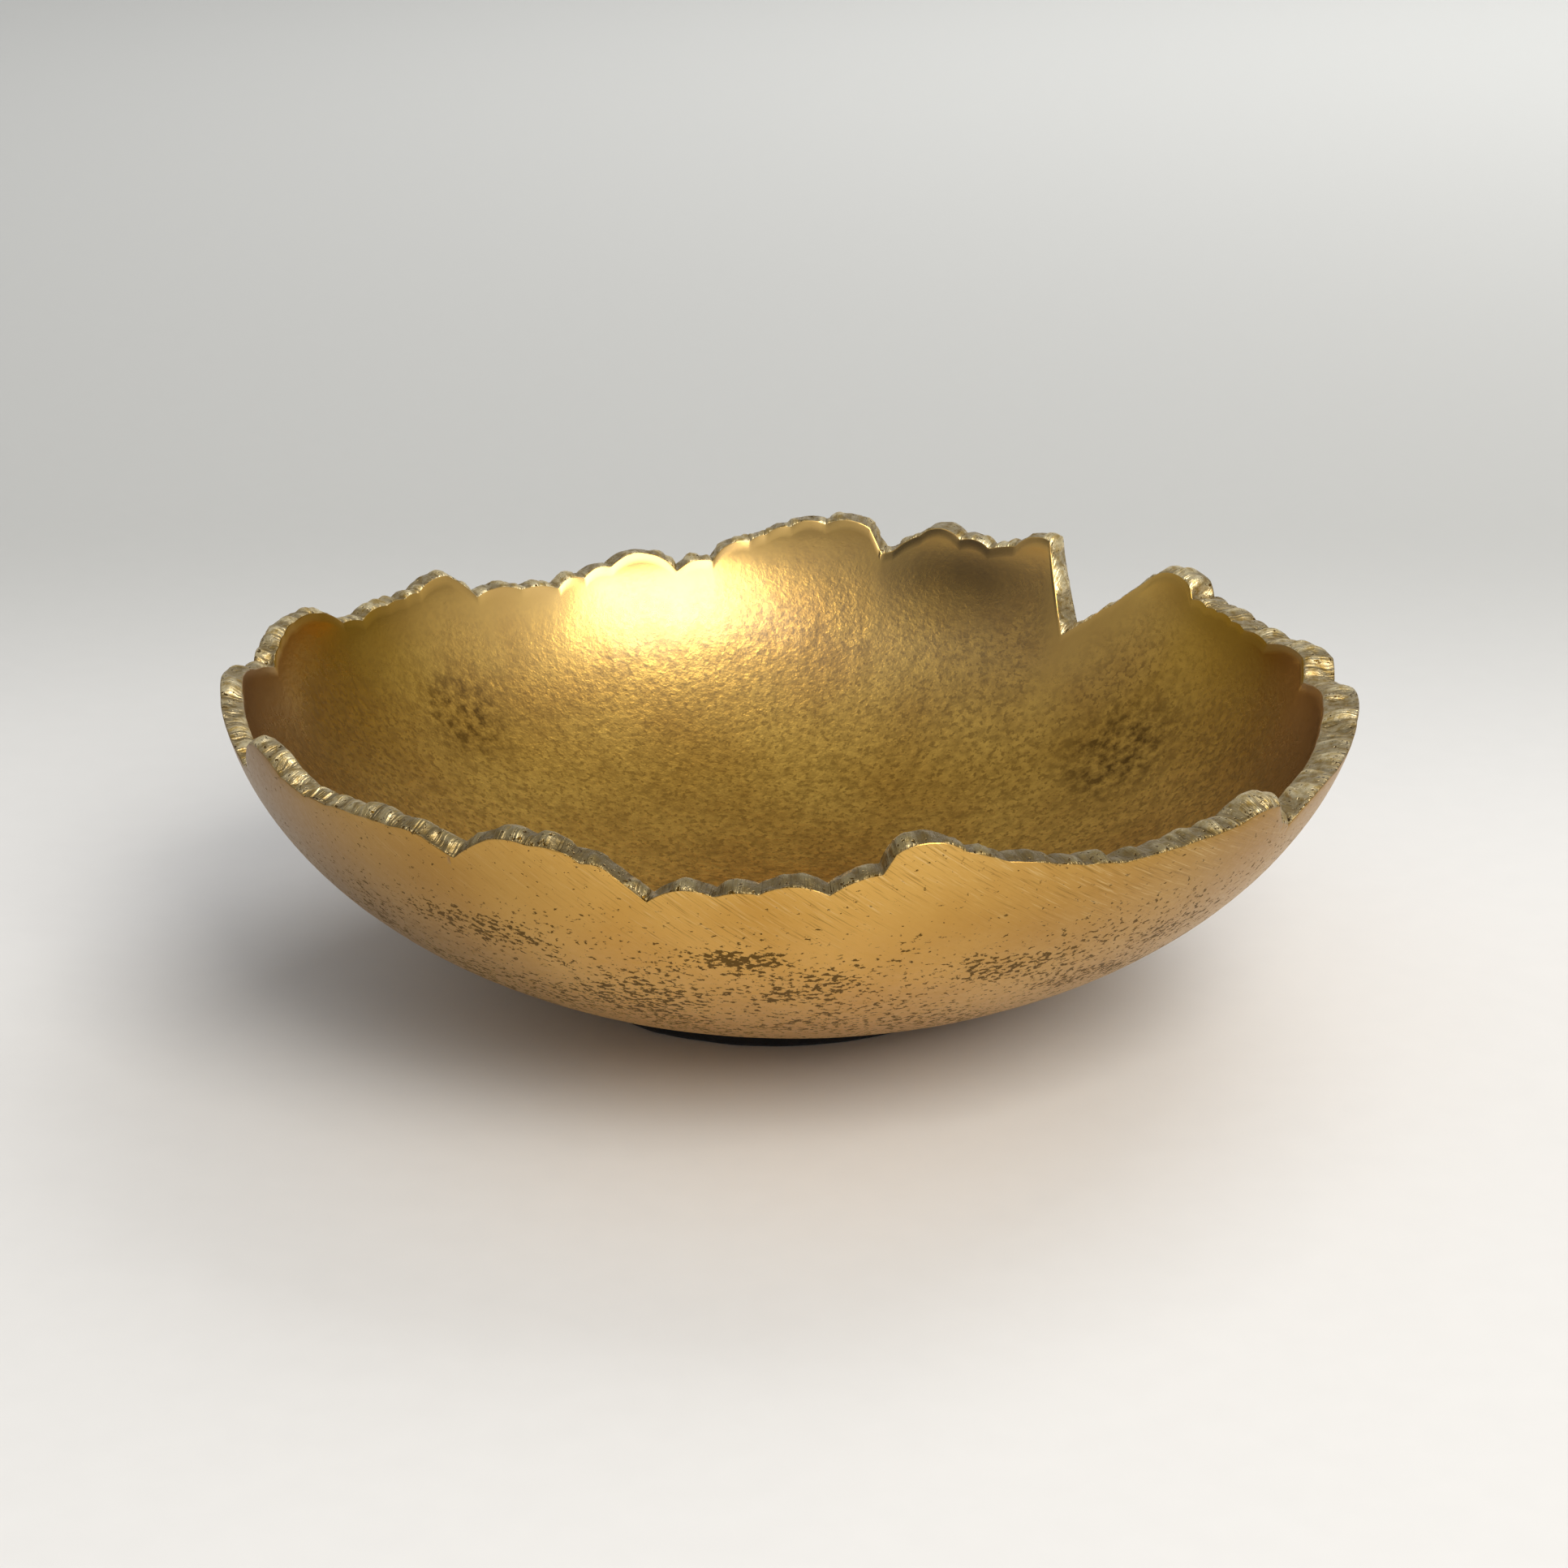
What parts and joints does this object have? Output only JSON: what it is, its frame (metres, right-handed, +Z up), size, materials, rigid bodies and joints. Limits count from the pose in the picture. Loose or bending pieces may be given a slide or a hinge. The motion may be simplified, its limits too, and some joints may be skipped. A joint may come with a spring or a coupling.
{
  "type": "decorative bowl",
  "caption": "Round cast-metal bowl with a torn, scalloped rim and a satin brass finish, standing on a round felt pad.",
  "frame": {"origin": "on the table plane, at the underside of the felt pad, on the axis of the bowl's outer wall", "axes": "+Z up out of the mouth of the bowl, -Y towards the viewer's side, +X to the right of it"},
  "size_m": [0.3002, 0.3004, 0.0904],
  "materials": {
    "cast_brass": "satin antique gold, cast grain inside, ground below the rim",
    "adhesive_film": "matt translucent film",
    "black_felt": "matt pressed felt"
  },
  "bodies": {
    "root": {"bowl_casting": "cast_brass", "pad_adhesive": "adhesive_film", "felt_pad": "black_felt"}
  },
  "joints": []
}
